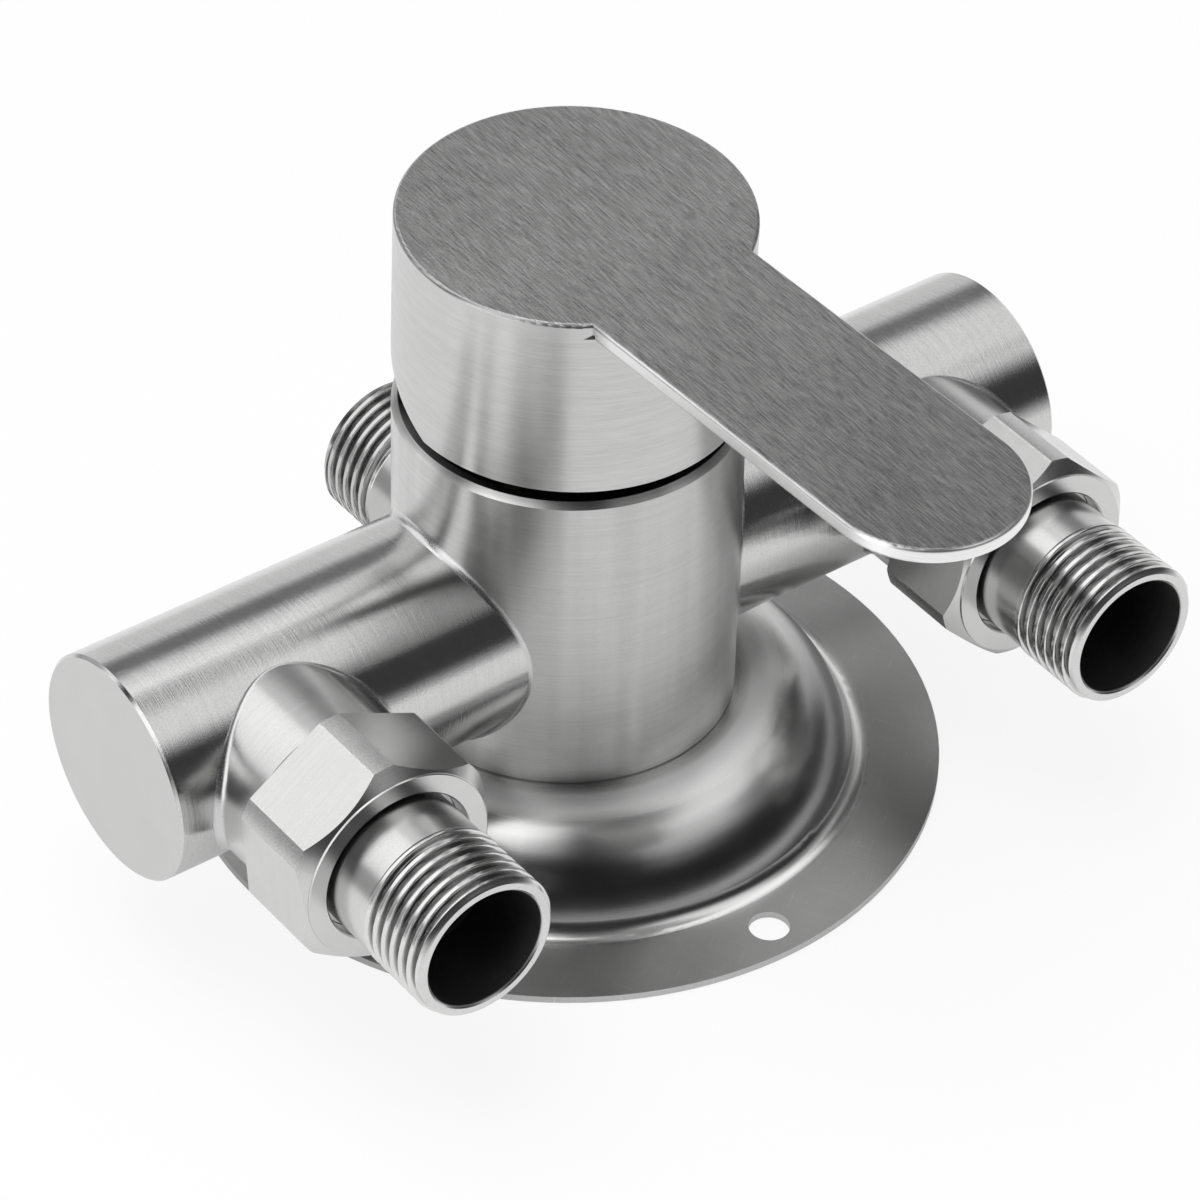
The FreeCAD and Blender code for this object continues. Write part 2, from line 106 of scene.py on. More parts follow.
class Nodes:
    """Builds a material's node tree with short calls."""

    def __init__(self, name):
        self.material = bpy.data.materials.new(name)
        self.material.use_nodes = True
        self.tree = self.material.node_tree
        self.shader = self.tree.nodes["Principled BSDF"]
        self.out = self.tree.nodes["Material Output"]

    def add(self, kind, **settings):
        node = self.tree.nodes.new(kind)
        for key, value in settings.items():
            setattr(node, key, value)
        return node

    def link(self, start, end):
        self.tree.links.new(start, end)

    def feed(self, socket, value):
        if isinstance(value, bpy.types.NodeSocket):
            self.link(value, socket)
        else:
            socket.default_value = value

    def math(self, operation, a, b=0.0):
        node = self.add("ShaderNodeMath", operation=operation)
        for socket, value in zip(node.inputs, (a, b)):
            self.feed(socket, value)
        return node.outputs[0]

    def plus(self, a, b):
        return self.math("ADD", a, b)

    def minus(self, a, b):
        return self.math("SUBTRACT", a, b)

    def times(self, a, b):
        return self.math("MULTIPLY", a, b)

    def object_point(self):
        return self.add("ShaderNodeTexCoord").outputs["Object"]

    def stretched(self, point, scale, turn=0.0):
        mapping = self.add("ShaderNodeMapping", vector_type="TEXTURE")
        self.link(point, mapping.inputs["Vector"])
        mapping.inputs["Rotation"].default_value = (0, 0, turn)
        mapping.inputs["Scale"].default_value = tuple(1.0 / v for v in scale)
        return mapping.outputs[0]

    def noise(self, point, scale, detail, roughness):
        node = self.add("ShaderNodeTexNoise")
        self.link(point, node.inputs["Vector"])
        node.inputs["Scale"].default_value = scale
        node.inputs["Detail"].default_value = detail
        node.inputs["Roughness"].default_value = roughness
        return node.outputs[0]

    def spread(self, value, low, high, out_low, out_high):
        node = self.add("ShaderNodeMapRange")
        self.link(value, node.inputs["Value"])
        names = ("From Min", "From Max", "To Min", "To Max")
        for name, number in zip(names, (low, high, out_low, out_high)):
            node.inputs[name].default_value = number
        return node.outputs[0]

    def grey(self, value, tint=(1.0, 1.0, 1.0)):
        node = self.add("ShaderNodeCombineColor")
        for socket, part in zip(node.inputs, tint):
            self.link(self.times(value, part), socket)
        return node.outputs[0]

    def bump(self, height, strength):
        node = self.add("ShaderNodeBump")
        node.inputs["Strength"].default_value = strength
        node.inputs["Distance"].default_value = BUMP_DISTANCE
        self.link(height, node.inputs["Height"])
        return node.outputs[0]


def line_scale(axis, fine=LINE, along=ALONG):
    # Brush lines run round the named axis, so the noise is fine along that axis only.
    return tuple(fine if name == axis else along for name in "XYZ")


def split(n, vector):
    parts = n.add("ShaderNodeSeparateXYZ")
    n.link(vector, parts.inputs[0])
    return parts.outputs


def radius_from_axis(n, point):
    x, y, z = split(n, point)
    squares = n.plus(n.times(x, x), n.times(y, y))
    return n.times(n.math("SQRT", squares), 1000.0)


def radius_from_line(n, point, off_axis, height):
    """Distance from an axis along Y that stands off_axis to either side, at the given height."""
    x, y, z = split(n, point)
    off = n.minus(n.math("ABSOLUTE", x), off_axis * MM)
    rise = n.minus(z, height * MM)
    squares = n.plus(n.times(off, off), n.times(rise, rise))
    return n.times(n.math("SQRT", squares), 1000.0)


def object_normal(n):
    geometry = n.add("ShaderNodeNewGeometry")
    turned = n.add("ShaderNodeVectorTransform", vector_type="NORMAL",
                   convert_from="WORLD", convert_to="OBJECT")
    n.link(geometry.outputs["Normal"], turned.inputs[0])
    return split(n, turned.outputs[0])


def blend(n, share, first, second):
    """first where share is 0 and second where it is 1."""
    gap = n.minus(second, first)
    return n.plus(first, n.times(gap, share))


def brush_marks(n, point, axis, lines, blotch, grain=0.0, along=ALONG):
    """Tone near 1 and height of brush lines, blotches and sandy grain; also the blotches themselves."""
    fine = n.noise(n.stretched(point, line_scale(axis, LINE, along)), 1.0, 3.0, 0.65)
    coarse = n.noise(n.stretched(point, line_scale(axis, LINE * 0.3, ALONG * 0.6)), 1.0, 2.0, 0.5)
    cloud = n.noise(point, 160.0, 3.0, 0.55)
    tone = n.plus(n.spread(fine, 0.25, 0.75, 1.0 - lines, 1.0 + lines),
                  n.spread(coarse, 0.3, 0.7, -lines * 0.4, lines * 0.4))
    tone = n.plus(tone, n.spread(cloud, 0.15, 0.85, -blotch, blotch))
    height = n.plus(fine, n.times(coarse, 0.6))
    if grain:
        sand = n.noise(point, 5200.0, 1.0, 0.5)
        tone = n.plus(tone, n.spread(sand, 0.3, 0.7, -grain, grain))
        height = n.plus(height, n.times(sand, 0.5))
    return tone, height, cloud


def steel(n, value, roughness, height, depth, axis, stretch):
    """Joins the parts of a steel finish; the highlight spreads across the lines round the axis."""
    n.link(n.grey(value, (1.0, 0.998, 0.993)), n.shader.inputs["Base Color"])
    n.link(roughness, n.shader.inputs["Roughness"])
    n.shader.inputs["Metallic"].default_value = 1.0
    n.feed(n.shader.inputs["Anisotropic"], stretch)
    n.shader.inputs["Anisotropic Rotation"].default_value = 0.25
    tangent = n.add("ShaderNodeTangent", direction_type="RADIAL", axis=axis)
    n.link(tangent.outputs[0], n.shader.inputs["Tangent"])
    n.link(n.bump(height, depth), n.shader.inputs["Normal"])
    return n.material


def brushed(name, axis, grey=0.6, rough=0.26, stretch=0.6, lines=0.16, depth=0.12, blotch=0.07,
            grain=0.0, along=ALONG):
    """Steel with brush lines round an axis, soft blotches and grain."""
    n = Nodes(name)
    tone, height, cloud = brush_marks(n, n.object_point(), axis, lines, blotch, grain, along)
    roughness = n.spread(cloud, 0.15, 0.85, rough * 0.88, rough * 1.14)
    return steel(n, n.times(tone, grey), roughness, height, depth, axis, stretch)


# The barrel's lip, in millimetres: where it starts, the radii between which its inside painted black as
# painted shade and its edge painted darker as painted shade end, and how far to the left the painted shade
# weakens, as painted light getting in.
LIP_HEIGHT = 57.0
LIP_SHADE_RADII = (22.20, 22.32)
LIP_EDGE_SHADE = (22.60, 23.0)
LIP_LEFT_LIGHT = (-22.2, -19.0)


def barrel_finish(name):
    """Turned barrel; the inside of its lip is painted black as painted shade of the gap under the handle,
    and its edge is painted darker.
    """
    n = Nodes(name)
    point = n.object_point()
    tone, height, cloud = brush_marks(n, point, "Z", 0.07, 0.07, 0.03)
    drawn = n.noise(n.stretched(point, (350.0, 350.0, 18.0)), 1.0, 1.0, 0.5)
    tone = n.plus(tone, n.spread(drawn, 0.3, 0.7, -0.05, 0.05))
    away = radius_from_axis(n, point)
    x, y, z = split(n, point)
    # Painted shade: the inside of the lip is painted near black, less at the far left, as painted light
    # getting in.
    inside = n.spread(away, *LIP_SHADE_RADII, 1.0, 0.0)
    high = n.spread(z, LIP_HEIGHT * MM, (LIP_HEIGHT + 0.2) * MM, 0.0, 1.0)
    depth = n.spread(x, LIP_LEFT_LIGHT[0] * MM, LIP_LEFT_LIGHT[1] * MM, 0.45, 0.97)
    shade = n.minus(1.0, n.times(n.times(inside, high), depth))
    # Painted shade: the lip's edge is painted darker towards the inside.
    lip_edge_shade = n.times(high, n.spread(away, *LIP_EDGE_SHADE, -0.30, 0.0))
    value = n.times(n.times(n.plus(tone, lip_edge_shade), 0.60), shade)
    roughness = n.spread(cloud, 0.15, 0.85, 0.26, 0.34)
    return steel(n, value, roughness, height, 0.10, "Z", 0.7)


# The cross tube's finish, which the end caps' sides share.
TUBE_GREY = 0.60
TUBE_ROUGH = 0.15
TUBE_STRETCH = 0.4
TUBE_LINES = 0.05
TUBE_DEPTH = 0.16
TUBE_BLOTCH = 0.05
TUBE_GRAIN = 0.07


def end_finish(name):
    """Flat ground end face, with the tube's own finish on the side."""
    n = Nodes(name)
    point = n.object_point()
    tone, height, cloud = brush_marks(n, point, "X", TUBE_LINES, TUBE_BLOTCH, TUBE_GRAIN)
    face = n.spread(n.math("ABSOLUTE", object_normal(n)[0]), 0.80, 0.97, 0.0, 1.0)
    ground = n.spread(cloud, 0.15, 0.85, 0.585, 0.615)
    value = blend(n, face, n.times(tone, TUBE_GREY), ground)
    roughness = n.spread(face, 0.0, 1.0, TUBE_ROUGH, 0.32)
    height = n.times(height, n.spread(face, 0.0, 1.0, 1.0, 0.15))
    return steel(n, value, roughness, height, TUBE_DEPTH, "X", n.spread(face, 0.0, 1.0, TUBE_STRETCH, 0.0))


# Rings of painted light on the flange, standing in for reflections (a highlight at the neck, a dark ring
# near the foot, a highlight on the foot's fillet): inner radius, outer radius and softness in millimetres.
NECK_HIGHLIGHT_RING = (24.6, 29.2, 1.0)
FOOT_SHADE_RING = (33.6, 39.1, 1.8)
FILLET_HIGHLIGHT_RING = (40.0, 41.2, 0.5)
RIM_START = (41.2, 42.6)
SCRATCHES = (((6000.0, 120.0, 1.0), 0.5), ((7000.0, 160.0, 1.0), -0.9))


def flange_finish(name):
    """Stamped sheet: satin dome; a painted highlight ring at the barrel, and at the foot a painted dark
    reflection ring and a painted highlight on the fillet.
    """
    n = Nodes(name)
    point = n.object_point()
    tone, height, cloud = brush_marks(n, point, "Z", 0.015, 0.04, 0.02)
    away = radius_from_axis(n, point)
    upper = n.spread(object_normal(n)[2], 0.0, 0.3, 0.0, 1.0)

    def ring(low, high, soft):
        rise = n.spread(away, low - soft, low + soft, 0.0, 1.0)
        fall = n.spread(away, high - soft, high + soft, 1.0, 0.0)
        return n.times(n.times(rise, fall), upper)

    neck_highlight = ring(*NECK_HIGHLIGHT_RING)
    foot_shade = ring(*FOOT_SHADE_RING)
    fillet_highlight = ring(*FILLET_HIGHLIGHT_RING)
    rim = n.spread(away, *RIM_START, 0.0, 1.0)
    # Painted highlights at the neck and on the fillet, a painted dark reflection near the foot, and a
    # darker rim.
    painted_rings_and_rim = n.plus(n.times(neck_highlight, 0.58), n.times(fillet_highlight, 0.45))
    painted_rings_and_rim = n.minus(painted_rings_and_rim, n.times(foot_shade, 0.66))
    painted_rings_and_rim = n.minus(painted_rings_and_rim, n.times(rim, 0.18))
    lines = [n.noise(n.stretched(point, scale, turn), 1.0, 0.0, 0.4) for scale, turn in SCRATCHES]
    marks = n.spread(n.math("MAXIMUM", *lines), 0.72, 0.80, 0.0, 0.14)
    marks = n.times(marks, rim)
    value = n.times(n.plus(n.plus(tone, painted_rings_and_rim), marks), 0.64)
    rough = n.plus(n.spread(cloud, 0.15, 0.85, 0.20, 0.25), n.times(neck_highlight, 0.22))
    rough = n.plus(rough, n.times(rim, 0.10))
    return steel(n, value, rough, height, 0.025, "Z", 0.1)


# The lever's brush lines, per metre, and the painted shade of a small notch where its blade's edge meets
# the disc; the notch is not cut.
LEVER_FINE = (9000.0, 360.0, 60.0)
LEVER_MIDDLE = (4600.0, 130.0, 60.0)
NOTCH_START, NOTCH_END = 56.8, 60.2
NOTCH_HEIGHT = 86.75
NOTCH_DOWN, NOTCH_UP = 0.35, 0.85


def lever_finish(name):
    """Brush lines along the lever's top, turned lines round the disc's side, a painted highlight on the
    blade's edge, and painted shade on the top towards the blade's tip and on the disc's rounded edge.
    """
    n = Nodes(name)
    point = n.object_point()
    x, y, z = split(n, point)
    fine = n.noise(n.stretched(point, LEVER_FINE), 1.0, 1.0, 0.6)
    middle = n.noise(n.stretched(point, LEVER_MIDDLE), 1.0, 1.0, 0.5)
    sand = n.noise(point, 4200.0, 1.0, 0.5)
    rim = n.noise(n.stretched(point, line_scale("Z")), 1.0, 3.0, 0.6)
    cloud = n.noise(point, 70.0, 2.0, 0.5)
    level = n.math("ABSOLUTE", object_normal(n)[2])
    on_top = n.spread(level, 0.74, 0.95, 0.0, 1.0)
    tone = n.plus(n.spread(fine, 0.3, 0.7, 0.62, 1.38), n.spread(middle, 0.3, 0.7, -0.05, 0.05))
    tone = n.plus(tone, n.spread(sand, 0.3, 0.7, -0.16, 0.16))
    tone = n.plus(tone, n.spread(cloud, 0.15, 0.85, -0.05, 0.05))
    # Painted shade: the top's colour darkens towards the blade's tip.
    top_value = n.times(tone, n.spread(y, -0.078, -0.005, 0.30, 0.50))
    # The blade's side is painted near white: a painted highlight on its edge.
    blade = n.spread(y, -0.024, -0.021, 1.0, 0.0)
    side_grey_blade_highlight = n.spread(blade, 0.0, 1.0, 0.63, 0.92)
    rim_value = n.times(n.spread(rim, 0.25, 0.75, 0.95, 1.05), side_grey_blade_highlight)
    # The disc's rounded edge is painted darker than the blade's: painted shade that takes out its
    # highlight.
    edge_shade = n.times(n.spread(level, 0.05, 0.4, 0.0, 0.36), n.minus(1.0, blade))
    rim_value = n.times(rim_value, n.minus(1.0, edge_shade))
    # Painted shade: a small dark patch stands in for the notch.
    angle = n.math("ARCTAN2", n.times(y, -1.0), n.times(x, -1.0))
    across = n.spread(angle, math.radians(NOTCH_START), math.radians(NOTCH_END), 0.0, 1.0)
    low = n.minus(NOTCH_HEIGHT * MM, n.times(across, NOTCH_DOWN * MM))
    high = n.plus(NOTCH_HEIGHT * MM, n.times(across, NOTCH_UP * MM))
    notch_shade = n.times(n.math("GREATER_THAN", z, low), n.math("LESS_THAN", z, high))
    notch_shade = n.times(notch_shade, n.math("LESS_THAN", across, 0.999))
    rim_value = n.times(rim_value, n.spread(notch_shade, 0.0, 1.0, 1.0, 0.12))
    value = blend(n, on_top, rim_value, top_value)
    height = n.plus(n.times(fine, on_top), n.times(rim, 0.25))
    # The highlight spreads across the brush lines: lengthwise lines on top, turned lines on the rim.
    lengthwise = n.add("ShaderNodeCombineXYZ")
    lengthwise.inputs[1].default_value = -1.0
    carried = n.add("ShaderNodeVectorTransform", vector_type="VECTOR",
                    convert_from="OBJECT", convert_to="WORLD")
    n.link(lengthwise.outputs[0], carried.inputs[0])
    tangent = n.add("ShaderNodeTangent", direction_type="RADIAL", axis="Z")
    mixed = n.add("ShaderNodeMix", data_type="VECTOR")
    n.link(on_top, mixed.inputs[0])
    n.link(tangent.outputs[0], mixed.inputs[4])
    n.link(carried.outputs[0], mixed.inputs[5])
    n.link(mixed.outputs[1], n.shader.inputs["Tangent"])
    n.link(n.grey(value, (1.0, 0.998, 0.994)), n.shader.inputs["Base Color"])
    n.link(n.spread(cloud, 0.15, 0.85, 0.29, 0.33), n.shader.inputs["Roughness"])
    n.shader.inputs["Metallic"].default_value = 1.0
    n.shader.inputs["Anisotropic"].default_value = 0.6
    n.shader.inputs["Anisotropic Rotation"].default_value = 0.25
    n.link(n.bump(height, 0.22), n.shader.inputs["Normal"])
    return n.material


def plain(name, grey, rough, metallic=0.0, tint=(1.0, 1.0, 1.0), mottle=0.08, scale=700.0, depth=0.05):
    n = Nodes(name)
    point = n.object_point()
    cloud = n.noise(point, scale, 3.0, 0.6)
    grain = n.noise(point, scale * 6, 2.0, 0.5)
    value = n.times(n.spread(cloud, 0.15, 0.85, 1.0 - mottle, 1.0 + mottle), grey)
    n.link(n.grey(value, tint), n.shader.inputs["Base Color"])
    n.link(n.spread(grain, 0.3, 0.7, rough * 0.9, rough * 1.1), n.shader.inputs["Roughness"])
    n.shader.inputs["Metallic"].default_value = metallic
    n.link(n.bump(grain, depth), n.shader.inputs["Normal"])
    return n.material


# ---- mesh helpers ----

def new_piece(name, vertices, faces, material, body, smooth_angle=35.0):
    mesh = bpy.data.meshes.new(name)
    mesh.from_pydata([Vector(v) * MM for v in vertices], [], faces)
    mesh.validate()
    work = bmesh.new()
    work.from_mesh(mesh)
    bmesh.ops.recalc_face_normals(work, faces=work.faces)
    work.to_mesh(mesh)
    work.free()
    mesh.materials.append(material)
    mesh.shade_smooth()
    mesh.set_sharp_from_angle(angle=math.radians(smooth_angle))
    piece = bpy.data.objects.new(name, mesh)
    bpy.context.scene.collection.objects.link(piece)
    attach(piece, body)
    return piece


def grid_faces(rows, columns):
    """Faces of a grid that closes on itself both ways, row by row."""
    faces = []
    for i in range(rows):
        for j in range(columns):
            ahead, beside = (i + 1) % rows, (j + 1) % columns
            here, there = i * columns, ahead * columns
            faces.append((here + j, there + j, there + beside, here + beside))
    return faces


# ---- threads, cut as real helical grooves ----

def thread_depth_at(turn_share):
    # One pitch of a rounded pipe thread: 0 on the crest and 1 in the root.
    wave = 0.5 - 0.5 * math.cos(2 * math.pi * turn_share)
    flank = min(max((wave - 0.18) / 0.64, 0.0), 1.0)
    return flank * flank * (3 - 2 * flank)


def threaded_pipe(name, place, body, material, root, collar, reach, thread_length, node):
    """A pipe with a helical thread; place puts (radius side, radius up, distance out) into the frame."""
    start = reach - thread_length
    lead_in = 0.55
    thread_end = reach - lead_in
    around = 120

    def crest_at(out):
        return NECK_RADIUS + (THREAD_RADIUS - 0.03 - NECK_RADIUS) * min(1.0, max(0.0, (out - start) / 0.4))

    def thread_radius(out, turn_share):
        fade = min(1.0, max(0.0, (out - start) / 1.5))
        fade *= min(1.0, max(0.0, (reach - 0.1 - out) / 0.5))
        turns = (out - start) / THREAD_PITCH - turn_share
        return crest_at(out) - THREAD_DEPTH * fade * thread_depth_at(turns)

    stations = []
    if collar:
        step = root + COLLAR_THICKNESS
        stations += [(BORE_RADIUS, root), (COLLAR_RADIUS, root), (COLLAR_RADIUS, step), (NECK_RADIUS, step)]
    else:
        stations += [(BORE_RADIUS, root), (NECK_RADIUS, root)]
    first = len(stations)
    steps = int(thread_length / THREAD_PITCH * 18)
    stations += [(None, start + share / steps * (thread_end - start)) for share in range(steps + 1)]
    last = len(stations) - 1
    stations.append((MOUTH_RADIUS + 0.02, reach - 0.12))
    stations.append((MOUTH_RADIUS - 0.16, reach))
    stations.append((BORE_RADIUS + 0.3, reach))
    stations.append((BORE_RADIUS, reach - 0.3))

    def radius_at(index, turn_share):
        radius, out = stations[index]
        return thread_radius(out, turn_share) if radius is None else radius

    def normal_at(row, vertex):
        """The surface's exact normal at a vertex, for the face row it is seen from."""
        index, turn_share = vertex // around, vertex % around / around
        angle = 2 * math.pi * turn_share
        if first <= row < last:
            out, small = stations[index][1], 0.01
            slope = thread_radius(out + small, turn_share) - thread_radius(out - small, turn_share)
            swing = thread_radius(out, turn_share + small) - thread_radius(out, turn_share - small)
            lead = swing / (2 * small) / (2 * math.pi * THREAD_RADIUS)
            parts = (1.0, -lead, -slope / (2 * small))
        else:
            ahead = (row + 1) % len(stations)
            rise = radius_at(ahead, turn_share) - radius_at(row, turn_share)
            parts = (stations[ahead][1] - stations[row][1], 0.0, -rise)
        side = parts[0] * math.cos(angle) - parts[1] * math.sin(angle)
        up = parts[0] * math.sin(angle) + parts[1] * math.cos(angle)
        return (Vector(place(side, up, parts[2])) - Vector(place(0, 0, 0))).normalized()

    vertices = []
    for index in range(len(stations)):
        for j in range(around):
            angle = 2 * math.pi * j / around
            radius = radius_at(index, j / around)
            vertices.append(place(radius * math.cos(angle), radius * math.sin(angle), stations[index][1]))
    piece = new_piece(name, vertices, grid_faces(len(stations), around), material, body, 40.0)
    mesh = piece.data
    normals = []
    for polygon in mesh.polygons:
        for corner in polygon.vertices:
            normal = normal_at(polygon.index // around, corner)
            normals.append(normal if normal.dot(polygon.normal) >= 0 else -normal)
    mesh.normals_split_custom_set(normals)
    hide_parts(node)


def thread_finish(name, off_axis, height, reach, thread_length, grey):
    """Cut thread, smoother than the slightly duller pipe, with painted shade in its grooves and a faint
    painted highlight on its crests; the bore is painted darker, as painted shade.
    """
    n = Nodes(name)
    point = n.object_point()
    tone, relief, cloud = brush_marks(n, point, "Y", 0.03, 0.05, 0.04)
    away = radius_from_line(n, point, off_axis, height)
    along = n.math("ABSOLUTE", split(n, point)[1])
    past_start = n.math("GREATER_THAN", along, (reach - thread_length) * MM)
    before_end = n.math("LESS_THAN", along, (reach - 0.3) * MM)
    cut = n.times(past_start, before_end)
    # Painted shade in the thread's grooves and a faint painted highlight on its crests.
    groove_shade_crest_light = n.spread(away, THREAD_RADIUS - THREAD_DEPTH, THREAD_RADIUS - 0.25, -0.55, 0.08)
    value = n.times(n.plus(tone, n.times(groove_shade_crest_light, cut)), grey)
    roughness = n.minus(n.spread(cloud, 0.15, 0.85, 0.21, 0.27), n.times(cut, 0.08))
    # Painted shade: the bore's inside is painted darker.
    bore = n.spread(away, BORE_RADIUS + 0.05, BORE_RADIUS + 0.15, 1.0, 0.0)
    value = n.times(value, n.spread(bore, 0.0, 1.0, 1.0, 0.55))
    roughness = n.plus(roughness, n.times(bore, 0.34))
    return steel(n, value, roughness, relief, 0.03, "Y", 0.2)


# ---- union nuts, cut from round bar: the ridges keep the bar's round skin ----

NUT_FLATS = 28.0
NUT_BAR_RADIUS = 15.4
NUT_BACK = 22.3
NUT_FRONT = 36.0
NUT_LEDGE = 2.7
NUT_THREAD_RADIUS = 12.0
NUT_HOLE_RADIUS = 10.8475
NUT_FACE_RADIUS = 13.6
NUT_FACE_STEP = 0.25
NUT_CHAMFER_SLOPE = 0.9
RIDGE_STEPS = 8
FLAT_STEPS = 14


def dressed_nut(name, place, turn, body, material, node):
    """A six-sided nut whose profile rows run from its back round its skin and face into its bore."""
    ridge = 30.0 - math.degrees(math.acos(NUT_FLATS / 2 / NUT_BAR_RADIUS))
    swings = []
    for index in range(6):
        middle = 60.0 * index + turn
        swings += [middle - ridge + 2 * ridge * k / RIDGE_STEPS for k in range(RIDGE_STEPS)]
        swings += [middle + ridge + (60 - 2 * ridge) * k / FLAT_STEPS for k in range(FLAT_STEPS)]
    step = NUT_FRONT - NUT_FACE_STEP

    def skin(swing):
        from_flat = math.radians((swing - turn) % 60 - 30)
        return min(NUT_FLATS / 2 / math.cos(from_flat), NUT_BAR_RADIUS)

    rows = [
        lambda a: (NUT_THREAD_RADIUS, NUT_BACK),
        lambda a: (skin(a), NUT_BACK),
        lambda a: (skin(a), step - NUT_CHAMFER_SLOPE * (skin(a) - NUT_FACE_RADIUS - 0.1)),
        lambda a: (NUT_FACE_RADIUS + 0.1, step),
        lambda a: (NUT_FACE_RADIUS + 0.02, step),
        lambda a: (NUT_FACE_RADIUS - 0.05, NUT_FRONT),
        lambda a: (NUT_HOLE_RADIUS + 0.2, NUT_FRONT),
        lambda a: (NUT_HOLE_RADIUS, NUT_FRONT - 0.2),
        lambda a: (NUT_HOLE_RADIUS, NUT_FRONT - NUT_LEDGE),
        lambda a: (NUT_THREAD_RADIUS, NUT_FRONT - NUT_LEDGE),
    ]
    vertices = []
    for row in rows:
        for swing in swings:
            radius, out = row(swing)
            angle = math.radians(swing)
            vertices.append(place(radius * math.cos(angle), radius * math.sin(angle), out))
    piece = new_piece(name, vertices, grid_faces(len(rows), len(swings)), material, body, 15.0)
    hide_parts(node)


def nut_finish(name):
    """Ground flats and turned faces; the bar's rougher skin shows on the ridges."""
    n = Nodes(name)
    point = n.object_point()
    tone, height, cloud = brush_marks(n, point, "Y", 0.03, 0.04, 0.03)
    bar = n.spread(radius_from_line(n, point, INLET_X, TUBE_HEIGHT), 15.25, 15.32, 0.0, 1.0)
    sand = n.noise(point, 4800.0, 2.0, 0.6)
    tone = n.plus(tone, n.times(bar, n.spread(sand, 0.3, 0.7, -0.10, 0.22)))
    roughness = n.plus(n.spread(cloud, 0.15, 0.85, 0.19, 0.27), n.times(bar, 0.05))
    return steel(n, n.times(tone, 0.62), roughness, height, 0.03, "Y", 0.2)


# ---- weld fillets between two crossing cylinders ----

def weld(name, material, lean, axis_a, radius_a, origin_a, axis_b, radius_b, origin_b, side, ball,
         body, ripple):
    """A rolled fillet where cylinder A, which points to side, runs into the larger cylinder B.

    Both axes are unit vectors at right angles. lean is the third direction.
    """
    around, across = 160, 8
    rows = []
    third = Vector(lean)
    a, b = Vector(axis_a), Vector(axis_b)
    for j in range(around):
        angle = 2 * math.pi * j / around
        swell = ball * (1.0 + ripple * math.sin(angle * 31) * math.sin(angle * 7 + 1.0))
        reach_a, reach_b = radius_a + swell, radius_b + swell
        u = reach_a * math.cos(angle)
        v = reach_a * math.sin(angle)
        # u runs along B's axis and v along the third direction
        along = side * math.sqrt(max(reach_b ** 2 - v ** 2, 0.0))
        shift = (Vector(origin_a) - Vector(origin_b)).dot(b)
        centre = Vector(origin_b) + b * (u + shift) + third * v + a * along
        on_a = -(b * math.cos(angle) + third * math.sin(angle))
        flat = third * v + a * along
        on_b = -flat.normalized()
        row = []
        for k in range(across + 1):
            share = k / across
            swing = on_a.slerp(on_b, share)
            row.append(centre + swing * (swell + (0.015 if 0 < k < across else 0.05)))
        row.append(centre + (on_a + on_b).normalized() * swell * 1.6)
        rows.append(row)
    columns = across + 2
    vertices = [tuple(p) for row in rows for p in row]
    new_piece(name, vertices, grid_faces(around, columns), material, body, 50.0)


# ---- the studio ----

# World angle from the object towards the camera.
CAMERA_SIDE = math.radians(AZIMUTH - 90)
# Soft panels of the room: lowest and highest elevation, first and last side angle, the two
# soft edges, and the level. Side angles run from the camera round to its right.
ROOM = 0.055
BACKDROP = 0.8
BACKDROP_TOP = 26
PANELS = [
    (-90, -4, -200, 200, 8, 1, 0.70),
    (61, 100, -190, -12, 4, 26, 1.60),
    (61, 100, 158, 190, 4, 8, 1.60),
    (47, 68, 60, 185, 3, 8, 1.00),
    (47, 68, -185, -150, 3, 8, 1.00),
    (38, 68, 43, 97, 10, 11, 1.00),
    (18, 62, -150, -88, 5, 6, 1.25),
    (-30, 18, -130, -88, 6, 6, 0.50),
    (-30, 62, -68, -34, 6, 6, 1.60),
    (40, 75, -68, -19, 9, 8, 1.20),
    (26, 48, 95, 190, 4, 6, 0.16),
    (26, 48, -190, -150, 4, 6, 0.16),
    (-30, 46, 108, 140, 6, 6, 0.12),
]


